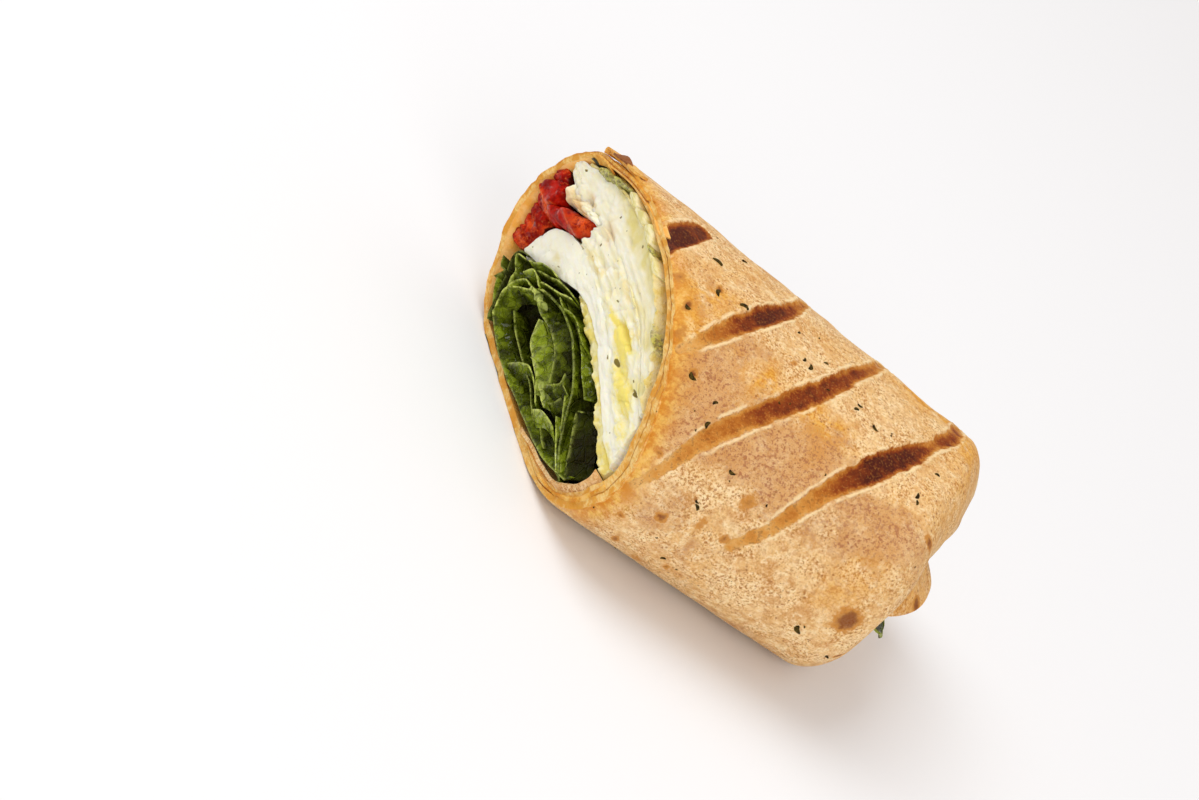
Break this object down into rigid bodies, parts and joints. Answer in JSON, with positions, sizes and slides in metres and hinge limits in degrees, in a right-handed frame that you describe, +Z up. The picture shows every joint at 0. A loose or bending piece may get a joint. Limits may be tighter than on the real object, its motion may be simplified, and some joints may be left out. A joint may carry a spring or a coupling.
{
  "type": "grilled vegetarian wrap half",
  "caption": "Half of a grilled flour tortilla wrap cut on the bias, with egg, a white slab, pesto, spinach and dried tomatoes at the cut; lies on its flat side.",
  "frame": {"origin": "bottom centre of the bounding box, on the surface that the half lies on", "axes": "+X along the roll from the cut to the folded end, +Y to the long side with the tomatoes, +Z up through the grill-marked face"},
  "size_m": [0.11, 0.0728, 0.0502],
  "materials": {
    "tortilla": "toasted flour tortilla, matt, speckled",
    "pesto": "oily green herb paste",
    "white_slab": "moist pale slab, soft satin",
    "egg_yellow": "cooked egg, soft satin",
    "egg_white": "cooked egg white, soft satin",
    "egg_crust": "lightly browned egg",
    "spinach": "wilted leaves, glossy",
    "tomato": "dried tomato in oil, glossy"
  },
  "bodies": {
    "root": {"tortilla": "tortilla", "pesto": "pesto", "white_slab": "white_slab", "egg_yellow": "egg_yellow", "egg_white": "egg_white", "egg_crust": "egg_crust", "spinach": "spinach", "tomato_1": "tomato", "tomato_2": "tomato", "tomato_3": "tomato", "spinach_tip": "spinach"}
  },
  "joints": []
}
